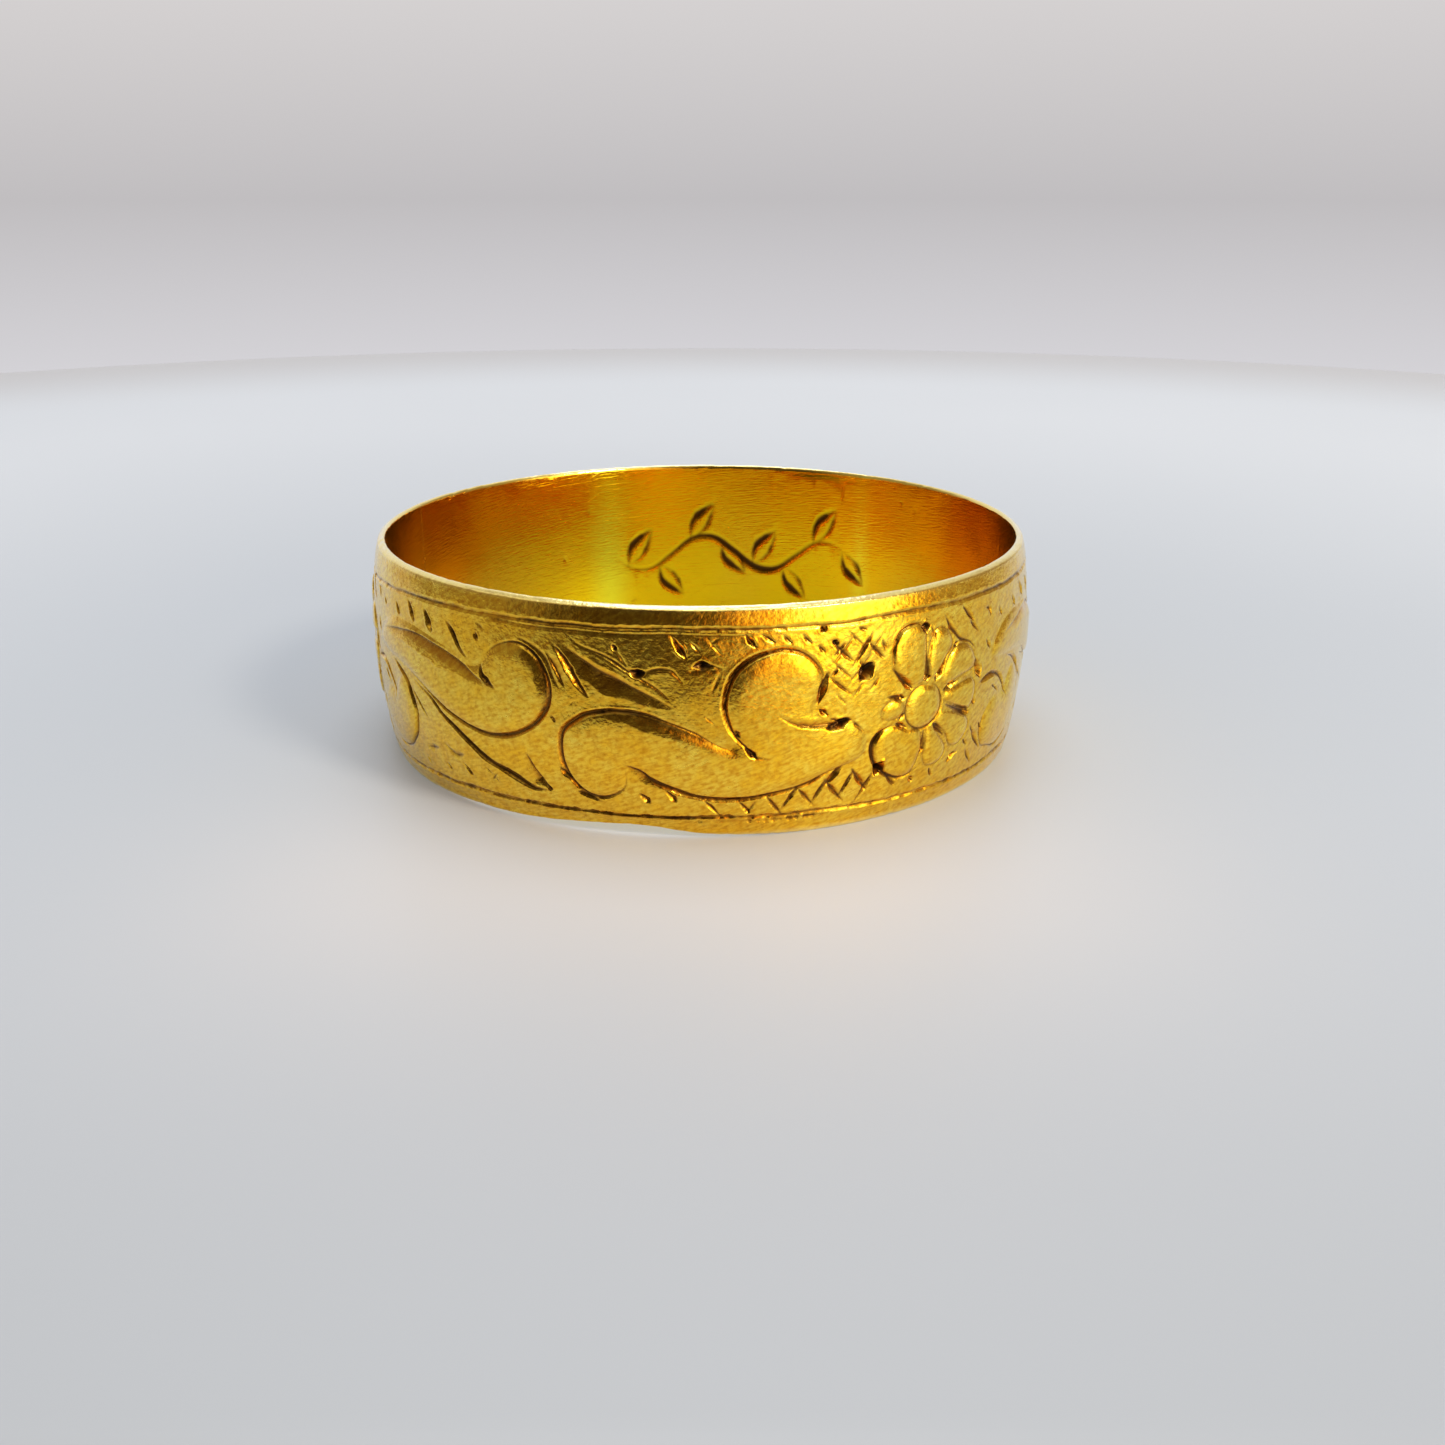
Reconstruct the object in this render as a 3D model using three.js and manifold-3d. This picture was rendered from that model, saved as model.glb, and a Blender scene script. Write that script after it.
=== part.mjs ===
// A wide, engraved gold wedding band, lying flat on its lower edge.
// Millimetres, +Z up along the finger hole. The origin is the centre of the lower edge.
//
// A goldsmith makes it from one flat strip of gold, bent round until its two ends meet, and closes
// the joint with hard solder. So it has two pieces: the strip, and the sliver of solder in the joint.
// Neither moves. The scrolls and flowers engraved on the strip are a few hundredths of a millimetre
// deep and are surface work. The two border lines are cut all the way round, so they are here.
import * as THREE from "three";
import { mergeVertices } from "three/addons/utils/BufferGeometryUtils.js";
import Module from "manifold-3d";

// Driving dimensions.
const BORE_RADIUS = 9.07; // a finger hole 18.14 mm across, ring size 8 (US)
const BAND_WIDTH = 6; // along the finger
const CROWN_RADIUS = 9.55; // outside, half way up, where the wall is thickest
const EDGE_DROP = 0.28; // how far the rounded face falls back from the crown to each edge
const TAPER = 0.06; // the band is this much wider at its upper edge and narrower at its lower
const LAND_INNER = 9.1; // the narrow flat land on each edge
const LAND_OUTER = 9.2;
const EDGE_HEIGHT = 0.1; // of the worn rounding beside each land
const BORDER_INSET = 0.54; // of each border line from its edge
const BORDER_WIDTH = 0.14;
const BORDER_DEPTH = 0.05;
const SEAM_ANGLE = 164; // degrees from +X to the soldered joint, behind and to the left
const SEAM_WIDTH = 0.12; // of the solder, along the band
const SEAM_GAP = 0.005; // left free on each side of the solder

// Fineness of the facets.
const TURNS = 96;
const FACE_STEPS = 8;

const GOLD = 0xe6b23c;
const SOLDER = 0xdcb455;

const wasm = await Module();
wasm.setup();

// A closed three.js geometry as a manifold-3d solid.
function toSolid(geometry) {
  const bare = geometry.clone();
  bare.deleteAttribute("normal");
  bare.deleteAttribute("uv");
  const merged = mergeVertices(bare, 1e-4);
  return new wasm.Manifold(
    new wasm.Mesh({
      numProp: 3,
      vertProperties: new Float32Array(merged.attributes.position.array),
      triVerts: new Uint32Array(merged.index.array),
    }),
  );
}

function toGeometry(solid) {
  const { vertProperties, triVerts } = solid.getMesh();
  const geometry = new THREE.BufferGeometry();
  geometry.setAttribute("position", new THREE.BufferAttribute(vertProperties, 3));
  geometry.setIndex(new THREE.BufferAttribute(triVerts, 1));
  geometry.computeVertexNormals();
  return geometry;
}

// Radius of the rounded outer face at height z.
function faceRadius(z) {
  const t = (2 * z) / BAND_WIDTH - 1;
  return CROWN_RADIUS + TAPER * t - EDGE_DROP * t * t;
}

// A border line is a shallow V in the face, cut at height z.
function borderLine(z) {
  const half = BORDER_WIDTH / 2;
  return [
    [faceRadius(z - half), z - half],
    [faceRadius(z) - BORDER_DEPTH, z],
    [faceRadius(z + half), z + half],
  ];
}

// The band's section, from the bore's lower corner round the outside and back.
function section() {
  const top = BAND_WIDTH;
  const lowLine = BORDER_INSET;
  const highLine = BAND_WIDTH - BORDER_INSET;
  const points = [
    [BORE_RADIUS, EDGE_HEIGHT],
    [LAND_INNER, 0],
    [LAND_OUTER, 0],
    [faceRadius(EDGE_HEIGHT), EDGE_HEIGHT],
    ...borderLine(lowLine),
  ];
  for (let i = 1; i < FACE_STEPS; i += 1) {
    const z = lowLine + ((highLine - lowLine) * i) / FACE_STEPS;
    points.push([faceRadius(z), z]);
  }
  points.push(
    ...borderLine(highLine),
    [faceRadius(top - EDGE_HEIGHT), top - EDGE_HEIGHT],
    [LAND_OUTER, top],
    [LAND_INNER, top],
    [BORE_RADIUS, top - EDGE_HEIGHT],
  );
  points.push(points[0]);
  return points.map(([r, z]) => new THREE.Vector2(r, z));
}

// The section turned through a whole circle about Z.
function wholeBand() {
  return toSolid(new THREE.LatheGeometry(section(), TURNS).rotateX(Math.PI / 2));
}

// An upright block of the given width that crosses the wall at the joint.
function jointBlock(width) {
  const depth = 2;
  const angle = THREE.MathUtils.degToRad(SEAM_ANGLE);
  const block = new THREE.BoxGeometry(depth, width, BAND_WIDTH + 2);
  block.translate(BORE_RADIUS, 0, BAND_WIDTH / 2);
  return toSolid(block.rotateZ(angle));
}

function piece(name, solid, color, roughness) {
  const material = new THREE.MeshStandardMaterial({ color, roughness, metalness: 1 });
  const mesh = new THREE.Mesh(toGeometry(solid), material);
  mesh.name = name;
  return mesh;
}

const band = wholeBand();
const strip = band.subtract(jointBlock(SEAM_WIDTH + 2 * SEAM_GAP));
const solder = band.intersect(jointBlock(SEAM_WIDTH));

const ring = new THREE.Group();
ring.add(piece("band_strip", strip, GOLD, 0.3));
ring.add(piece("solder_seam", solder, SOLDER, 0.35));

export default ring;
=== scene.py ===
# A wide gold wedding band, engraved by hand with scrolling leaves and a flower, lying on its edge.
# A goldsmith makes it from one strip of gold, engraved, bent round and soldered where its ends meet.
# Blender's units are metres. The band is worked out in millimetres along, across and out of the
# strip, and MM turns those into metres.
import math

import bpy
import numpy as np
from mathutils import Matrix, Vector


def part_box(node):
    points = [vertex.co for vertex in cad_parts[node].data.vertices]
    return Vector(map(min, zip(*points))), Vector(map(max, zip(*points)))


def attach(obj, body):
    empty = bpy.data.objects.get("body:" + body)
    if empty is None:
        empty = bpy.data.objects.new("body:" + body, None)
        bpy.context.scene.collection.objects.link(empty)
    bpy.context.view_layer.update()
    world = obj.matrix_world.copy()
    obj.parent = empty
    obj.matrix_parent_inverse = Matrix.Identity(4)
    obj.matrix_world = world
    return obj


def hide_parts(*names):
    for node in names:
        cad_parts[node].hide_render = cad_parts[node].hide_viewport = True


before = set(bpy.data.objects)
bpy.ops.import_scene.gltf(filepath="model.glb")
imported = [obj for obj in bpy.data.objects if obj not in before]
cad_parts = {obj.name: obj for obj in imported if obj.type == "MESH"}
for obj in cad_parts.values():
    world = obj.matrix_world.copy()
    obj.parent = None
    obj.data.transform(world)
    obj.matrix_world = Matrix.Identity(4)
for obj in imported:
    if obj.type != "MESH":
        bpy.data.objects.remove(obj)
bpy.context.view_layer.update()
MM = 0.001

# ---------------------------------------------------------------------------------------------
# The camera. A close look across the table top and a little down at the front of the band, which
# stands a little left of the middle.
low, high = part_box("band_strip")
centre_x = (low.x + high.x) / 2
centre_y = (low.y + high.y) / 2
LOOK_DOWN = math.radians(20.08)
CAMERA_BACK = 43.436 * MM
CAMERA_HEIGHT = 15.589 * MM
CAMERA_SIDE = 0.628 * MM
camera_data = bpy.data.cameras.new("camera")
camera_data.lens = 37.37
camera_data.sensor_width = 36.0
camera_data.clip_start = 1 * MM
camera_data.clip_end = 5.0
camera = bpy.data.objects.new("camera", camera_data)
camera.location = (centre_x + CAMERA_SIDE, centre_y - CAMERA_BACK, low.z + CAMERA_HEIGHT)
camera.rotation_euler = (math.pi / 2 - LOOK_DOWN, 0.0, 0.0)
bpy.context.scene.collection.objects.link(camera)
bpy.context.scene.camera = camera

# ---------------------------------------------------------------------------------------------
# The band strip. One strip of high-carat gold, rolled with a rounded face, engraved flat with a
# square graver, then bent round a mandrel. Years of wear have rounded its edges and dulled it.
WIDTH = (high.z - low.z) / MM
CROWN = (high.x - low.x) / 2 / MM  # outside radius where the wall is thickest
BORE = 9.07  # radius of the finger hole
DROP = 0.28  # how far the face falls back from the crown to each edge
TAPER = 0.06  # how much wider the upper edge is than the middle
SPREAD = 9.55  # a place along the strip is its angle times this radius
ROUND = 2 * math.pi * SPREAD  # the strip's length
CREST = 9.165  # radius of the top of each worn edge
EDGE = 0.13  # how far down from the crest the rounding starts
SEAM = math.radians(164 - 270) * SPREAD  # the joint's middle, along the strip from the front
SOLDER = 0.12  # the width of the solder
CELL = 0.02  # fineness of the engraving's map
luck = np.random.default_rng(1904)


def face_radius(height):
    share = 2 * height / WIDTH - 1
    return CROWN + TAPER * share - DROP * share**2


class Side:
    """One side of the strip before it is bent: how deep it is cut and how high its burrs stand."""

    def __init__(self):
        self.columns = round(ROUND / CELL)
        self.rows = round(WIDTH / CELL) + 1
        self.depth = np.zeros((self.rows, self.columns))
        self.burr = np.zeros((self.rows, self.columns))
        self.grime = np.zeros((self.rows, self.columns))

    def lower(self, first, row, depth, burr, grime):
        """Takes a small block of cuts, which starts at that column and row, into the whole side."""
        count = depth.shape[1]
        at = (first + np.arange(count)) % self.columns
        rows = slice(row, row + depth.shape[0])
        self.depth[rows, at] = np.maximum(self.depth[rows, at], depth)
        self.burr[rows, at] = np.maximum(self.burr[rows, at], burr)
        self.grime[rows, at] = np.maximum(self.grime[rows, at], grime)


def smooth_path(points, step=0.04):
    """A smooth curve through the points, as a list of places about a step apart."""
    p = np.array(points, float)
    if len(p) == 2:
        p = np.array([p[0], p.mean(0), p[1]])
    ends = np.vstack([2 * p[0] - p[1], p, 2 * p[-1] - p[-2]])
    found = []
    for a, b, c, d in zip(ends[:-3], ends[1:-2], ends[2:-1], ends[3:]):
        count = max(2, int(np.hypot(*(c - b)) / step))
        t = np.linspace(0, 1, count, endpoint=False)[:, None]
        curve = 2 * b + (c - a) * t + (2 * a - 5 * b + 4 * c - d) * t**2
        found.append((curve + (3 * b - a - 3 * c + d) * t**3) / 2)
    return np.vstack(found + [p[-1:]])


def cut(side, points, width, slope=0.5, lean=0.0, widest=None, burr=0.24, dirt_and_shade=0.03):
    """One stroke of the graver through the points, each its place along and across the strip.
    A stroke swells to its width at the share widest of its length, or is even if that is None.
    lean puts the deepest line nearer the right of its way when positive, and hollows the wide side.
    Old polish and other soiling, with painted shade, lie along the deepest line, up to a half-width
    given by the last argument."""
    path = smooth_path(points)
    steps = np.hypot(*np.diff(path, axis=0).T)
    share = np.concatenate([[0], np.cumsum(steps)]) / steps.sum()
    if widest is None:
        swell = np.minimum(1, np.minimum(share, 1 - share) / 0.16 + 0.05) ** 0.7
    else:
        swell = np.minimum(share / max(widest, 0.01), (1 - share) / max(1 - widest, 0.01))
        swell = np.clip(swell, 0.03, 1) ** 0.65
    slips = np.interp(share, np.linspace(0, 1, 14), luck.normal(0, 0.1, 14))
    half = width / 2 * swell * (1 + slips)
    margin = width * (1 + abs(lean)) / 2 + 0.1
    start = np.floor((path.min(0) - margin) / CELL).astype(int)
    stop = np.ceil((path.max(0) + margin) / CELL).astype(int)
    bottom, top = max(start[1], 0), min(stop[1], side.rows - 1)
    along = np.arange(start[0], stop[0] + 1) * CELL
    across = np.arange(bottom, top + 1) * CELL
    place_u, place_z = np.meshgrid(along, across)
    nearest = np.full(place_u.shape, 9.0)
    reach = np.full(place_u.shape, 0.01)
    middle = np.full(place_u.shape, 0.0)
    for (u, z), (du, dz), h0, h1 in zip(path[:-1], np.diff(path, axis=0), half[:-1], half[1:]):
        length = max(du * du + dz * dz, 1e-9)
        t = np.clip(((place_u - u) * du + (place_z - z) * dz) / length, 0, 1)
        off_u, off_z = place_u - u - t * du, place_z - z - t * dz
        gap = np.hypot(off_u, off_z)
        h = h0 + (h1 - h0) * t
        left = np.where(du * off_z - dz * off_u > 0, 1, -1)
        closer = gap < nearest
        nearest = np.where(closer, gap, nearest)
        reach = np.where(closer, np.maximum(h * (1 + lean * left), 0.004), reach)
        middle = np.where(closer, h, middle)
    deepest = 2 * middle * slope
    depth = deepest * np.clip(1 - nearest / reach, 0, 1) ** (1 + abs(lean))
    ridge = burr * deepest * np.exp(-(((nearest - reach) / 0.045) ** 2)) * (nearest > reach)
    # Old polish and painted shade along the deepest line.
    grime = np.clip(1.35 * (1 - nearest / np.maximum(np.minimum(middle, dirt_and_shade) * 1.4, 0.012)), 0, 1)
    side.lower(start[0], bottom, depth, ridge, grime)


def ripples(along, across, longest, shortest, count):
    """Smooth unevenness of about unit height that meets itself round the band."""
    total = np.zeros_like(along)
    for _ in range(count):
        wave = np.exp(luck.uniform(math.log(shortest), math.log(longest)))
        turn, phase = luck.uniform(0, 2 * math.pi, 2)
        turns = round(ROUND / wave * math.cos(turn))
        rise = 2 * math.pi / wave * math.sin(turn)
        total += np.cos(2 * math.pi * turns * along / ROUND + rise * across + phase)
    return total / math.sqrt(count / 2)


outside = Side()

# The leaf whose end curls to a round head, with its veins and the ticks round it.
LEAF = [
    ([(-10.3, 4.15), (-9.5, 4.3), (-8.5, 4.4), (-7.5, 4.3), (-6.5, 4.05), (-5.9, 3.8), (-5.3, 3.58)],
     dict(width=0.44, lean=-0.8, slope=0.19, widest=0.55)),
    ([(-5.75, 4.2), (-5.7, 3.9), (-5.55, 3.75), (-5.25, 3.6)], dict(width=0.17, widest=0.6, lean=0.4)),
    ([(-5.65, 4.3), (-5.4, 4.6), (-5.0, 4.8), (-4.6, 4.85), (-4.2, 4.7), (-3.9, 4.4), (-3.72, 4.0),
      (-3.7, 3.6), (-3.85, 3.2), (-4.2, 2.8), (-4.7, 2.5), (-5.2, 2.35), (-5.7, 2.3), (-6.3, 2.4),
      (-7.0, 2.6), (-7.6, 2.85), (-8.3, 3.15), (-8.9, 3.35)], dict(width=0.16, widest=0.38)),
    ([(-4.25, 4.72), (-3.95, 4.4), (-3.8, 4.0), (-3.78, 3.6), (-3.95, 3.2)],
     dict(width=0.24, lean=-0.8, slope=0.2, widest=0.5)),
    ([(-4.6, 5.0), (-4.2, 4.85), (-3.8, 4.6), (-3.6, 4.15), (-3.4, 3.85)], dict(width=0.1, slope=0.25)),
    ([(-8.8, 3.2), (-8.3, 3.0), (-7.8, 2.8), (-7.4, 2.5), (-6.8, 2.15), (-6.3, 1.85), (-5.8, 1.55),
      (-5.2, 1.35), (-4.7, 1.15), (-4.3, 1.02), (-3.9, 1.05)], dict(width=0.2, widest=0.82, lean=0.4)),
    ([(-8.9, 2.9), (-8.5, 2.6), (-8.2, 2.3), (-7.95, 2.1)], dict(width=0.08, widest=0.5)),
    ([(-4.5, 2.05), (-4.2, 1.5), (-3.85, 1.1)], dict(width=0.26, widest=0.7, lean=-0.5, slope=0.3)),
    ([(-3.98, 1.25), (-3.8, 1.05)], dict(width=0.12, widest=0.8, slope=0.7)),
    ([(-5.95, 1.35), (-5.6, 1.12)], dict(width=0.06, widest=0.5)),
    ([(-5.45, 1.25), (-5.6, 1.1), (-5.75, 0.9)], dict(width=0.07, widest=0.5)),
    ([(-5.6, 1.07), (-5.45, 0.95)], dict(width=0.06, widest=0.5)),
    ([(-7.5, 1.65), (-7.0, 1.4), (-6.6, 1.5)], dict(width=0.2, widest=0.7, slope=0.16)),
    ([(-8.35, 1.25), (-7.7, 1.4)], dict(width=0.2, widest=0.5, slope=0.16)),
    ([(-6.75, 1.25), (-6.4, 0.92)], dict(width=0.11, widest=0.7)),
    ([(-7.5, 1.05), (-7.25, 0.85)], dict(width=0.08, widest=0.6)),
    ([(-8.5, 0.95), (-8.3, 0.75)], dict(width=0.07, widest=0.6)),
    ([(-10.6, 4.9), (-10.4, 4.72)], dict(width=0.1, widest=0.7)),
    ([(-9.62, 5.0), (-9.35, 4.68)], dict(width=0.13, widest=0.7, slope=0.6)),
    ([(-8.85, 5.2), (-8.66, 4.98), (-8.48, 4.7)], dict(width=0.17, widest=0.7, slope=0.6)),
    ([(-8.0, 5.15), (-7.82, 4.9), (-7.62, 4.6)], dict(width=0.2, widest=0.65, slope=0.6)),
    ([(-7.05, 5.05), (-6.75, 4.75), (-6.5, 4.4), (-6.15, 4.15)], dict(width=0.12, widest=0.4, lean=0.3)),
    ([(-5.98, 4.92), (-5.86, 4.72)], dict(width=0.12, widest=0.6, slope=0.7)),
]

# The round curl that the leaf springs from, and its inner line.
CURL = [
    ([(-9.95, 3.4), (-9.5, 3.2), (-9.0, 2.95), (-8.75, 2.5), (-8.65, 2.1), (-8.8, 1.6), (-9.1, 1.25),
      (-9.5, 0.95), (-10.0, 0.82), (-10.5, 0.9), (-11.0, 1.1), (-11.3, 1.6), (-11.1, 2.1),
      (-10.7, 2.4)], dict(width=0.13, widest=0.12)),
    ([(-11.6, 3.0), (-11.0, 3.1), (-10.5, 2.95), (-10.1, 2.6), (-9.85, 2.15)],
     dict(width=0.18, widest=0.2, slope=0.5)),
    ([(-10.85, 2.85), (-10.6, 2.65), (-10.4, 2.45)], dict(width=0.1, widest=0.3)),
    ([(-11.8, 3.75), (-11.7, 3.4), (-11.5, 3.15)], dict(width=0.16, widest=0.4, slope=0.6)),
]

# Two pointed lances between the leaves, and the picked marks above them.
LANCES = [
    ([(-3.6, 4.95), (-3.4, 4.75), (-3.1, 4.3), (-2.9, 4.0), (-2.6, 3.68)],
     dict(width=0.2, widest=0.45, slope=0.5)),
    ([(-3.78, 4.75), (-3.5, 4.3), (-3.25, 3.85)], dict(width=0.26, widest=0.4, lean=0.8, slope=0.2)),
    ([(-3.3, 4.97), (-2.5, 4.45), (-1.6, 4.05), (-0.95, 3.75), (-0.5, 3.53)],
     dict(width=0.5, widest=0.45, lean=-0.5, slope=0.11)),
    ([(-3.3, 5.3), (-2.9, 5.0), (-2.2, 4.75), (-1.6, 4.4), (-0.9, 4.0), (-0.5, 3.6)],
     dict(width=0.09, widest=0.5)),
    ([(-2.05, 5.08), (-1.92, 4.9)], dict(width=0.14, widest=0.6, slope=0.8, dirt_and_shade=0.13)),
    ([(-1.95, 4.95), (-1.6, 4.45)], dict(width=0.06, widest=0.3)),
    ([(-1.62, 4.48), (-1.45, 4.38), (-1.2, 4.42)], dict(width=0.24, widest=0.55, slope=0.6, dirt_and_shade=0.13)),
    ([(-1.3, 4.42), (-0.9, 4.52), (-0.6, 4.5), (-0.4, 4.3), (-0.2, 4.0)],
     dict(width=0.09, widest=0.2, lean=-0.3)),
    ([(-0.6, 5.35), (-0.45, 5.1), (-0.22, 4.78)], dict(width=0.16, widest=0.65, slope=0.75)),
    ([(-0.1, 4.56), (0.12, 4.62), (0.4, 4.58)], dict(width=0.22, widest=0.5, slope=0.6, dirt_and_shade=0.13)),
    ([(0.25, 4.66), (0.7, 4.5)], dict(width=0.08, widest=0.3)),
    ([(-0.3, 4.45), (0.2, 4.5), (0.72, 4.47)], dict(width=0.07, widest=0.4)),
    ([(0.25, 5.32), (0.45, 5.05), (0.7, 4.8)], dict(width=0.06, widest=0.4)),
    ([(0.58, 5.3), (0.3, 5.1)], dict(width=0.05, widest=0.5)),
    ([(1.18, 5.38), (1.3, 5.2), (1.46, 5.02)], dict(width=0.15, widest=0.6, slope=0.7)),
    ([(-1.0, 5.2), (-1.4, 4.75)], dict(width=0.04, widest=0.5, slope=0.3)),
    ([(-3.7, 3.2), (-3.52, 2.95)], dict(width=0.08, widest=0.6)),
]

# The second leaf, an S that runs from its own round head into the volute.
S_LEAF = [
    ([(-1.8, 2.05), (-1.75, 1.75), (-1.8, 1.4), (-2.1, 1.15), (-2.5, 1.05), (-2.9, 1.2), (-3.2, 1.5),
      (-3.4, 1.9), (-3.45, 2.4), (-3.35, 2.8), (-3.0, 3.1), (-2.7, 3.28), (-2.2, 3.4), (-1.7, 3.42),
      (-1.2, 3.35), (-0.6, 3.15), (0.0, 2.9), (0.4, 2.65), (0.8, 2.45), (1.1, 2.3)],
     dict(width=0.16, widest=0.4)),
    ([(-2.5, 3.3), (-1.7, 3.36), (-1.2, 3.28), (-0.6, 3.08), (0.0, 2.83), (0.6, 2.5)],
     dict(width=0.3, lean=-0.8, slope=0.12, widest=0.45)),
    ([(-3.52, 1.78), (-3.36, 1.62), (-3.2, 1.48)], dict(width=0.17, widest=0.5, slope=0.55)),
    ([(-3.1, 1.15), (-2.85, 1.1), (-2.4, 0.9)], dict(width=0.14, widest=0.3)),
    ([(-1.8, 2.05), (-1.4, 1.9), (-1.1, 1.65), (-0.6, 1.4), (0.0, 1.2), (0.6, 1.12), (1.2, 1.12),
      (1.8, 1.2), (2.4, 1.3), (2.9, 1.45), (3.3, 1.65), (3.8, 1.8), (4.3, 1.95)],
     dict(width=0.15, widest=0.25)),
    ([(-1.8, 2.05), (-1.4, 1.86), (-1.1, 1.6), (-0.6, 1.36)],
     dict(width=0.24, widest=0.4, lean=-0.6, slope=0.28)),
]

# The volute, a snail's curl with a second small curl inside, and the deep picks where they meet.
VOLUTE = [
    ([(1.9, 2.15), (1.5, 2.25), (1.3, 2.45), (1.0, 2.75), (0.8, 3.1), (0.7, 3.6), (0.8, 4.1),
      (1.0, 4.45), (1.4, 4.75), (1.9, 4.9), (2.3, 4.9), (2.7, 4.75), (3.0, 4.45), (3.1, 4.1),
      (3.0, 3.7), (2.8, 3.42)], dict(width=0.17, widest=0.4, lean=0.35)),
    ([(1.15, 2.55), (1.3, 2.4), (1.48, 2.22)], dict(width=0.2, widest=0.6, slope=0.6, dirt_and_shade=0.13)),
    ([(0.92, 3.0), (1.06, 2.78)], dict(width=0.15, widest=0.5, slope=0.6)),
    ([(1.4, 2.3), (1.9, 2.16)], dict(width=0.05, widest=0.3)),
    ([(1.95, 3.42), (2.1, 3.22), (2.5, 3.02), (3.0, 2.93), (3.5, 2.96), (3.85, 3.05)],
     dict(width=0.2, widest=0.55, lean=0.5, slope=0.35)),
    ([(3.2, 2.85), (3.5, 2.88), (3.8, 3.0), (3.92, 2.98)],
     dict(width=0.24, widest=0.5, slope=0.6, dirt_and_shade=0.13)),
    ([(3.92, 2.97), (4.15, 2.75), (4.35, 2.55)], dict(width=0.09, widest=0.3)),
    ([(3.27, 4.32), (3.15, 4.0), (3.05, 3.7), (2.97, 3.48)], dict(width=0.19, widest=0.5, slope=0.6)),
    ([(3.02, 3.38), (3.28, 3.18)], dict(width=0.16, widest=0.5, slope=0.6)),
    ([(3.3, 3.1), (3.6, 2.98)], dict(width=0.1, widest=0.5)),
]

# Short picks that roughen the ground round the volute, where the tool was rocked.
GROUND = [
    ([(-0.15, 5.2), (0.1, 4.95)], dict(width=0.07, widest=0.5)),
    ([(1.55, 5.35), (1.95, 5.1)], dict(width=0.09, widest=0.5)),
    ([(2.1, 5.3), (2.35, 5.05)], dict(width=0.08, widest=0.5)),
    ([(2.6, 5.28), (2.85, 5.0)], dict(width=0.08, widest=0.5)),
    ([(3.0, 5.0), (3.2, 4.75)], dict(width=0.08, widest=0.5)),
    ([(4.75, 4.95), (4.9, 4.6)], dict(width=0.07, widest=0.5)),
    ([(4.1, 5.3), (4.35, 5.2)], dict(width=0.08, widest=0.5)),
    ([(4.7, 4.0), (4.4, 3.65)], dict(width=0.06, widest=0.5)),
    ([(3.6, 4.45), (3.3, 4.1)], dict(width=0.06, widest=0.5)),
    ([(0.35, 3.9), (0.62, 4.5)], dict(width=0.07, widest=0.5, slope=0.3)),
    ([(0.1, 3.45), (0.5, 3.1)], dict(width=0.05, widest=0.5, slope=0.3)),
    ([(-6.0, 5.2), (-5.6, 5.0)], dict(width=0.06, widest=0.5, slope=0.3)),
    ([(-3.2, 3.45), (-2.95, 3.6)], dict(width=0.06, widest=0.5, slope=0.3)),
    ([(7.9, 1.6), (8.15, 1.35)], dict(width=0.08, widest=0.5)),
    ([(8.6, 1.9), (8.85, 1.6)], dict(width=0.08, widest=0.5)),
    ([(8.7, 4.2), (8.95, 3.85)], dict(width=0.09, widest=0.5)),
]

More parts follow.
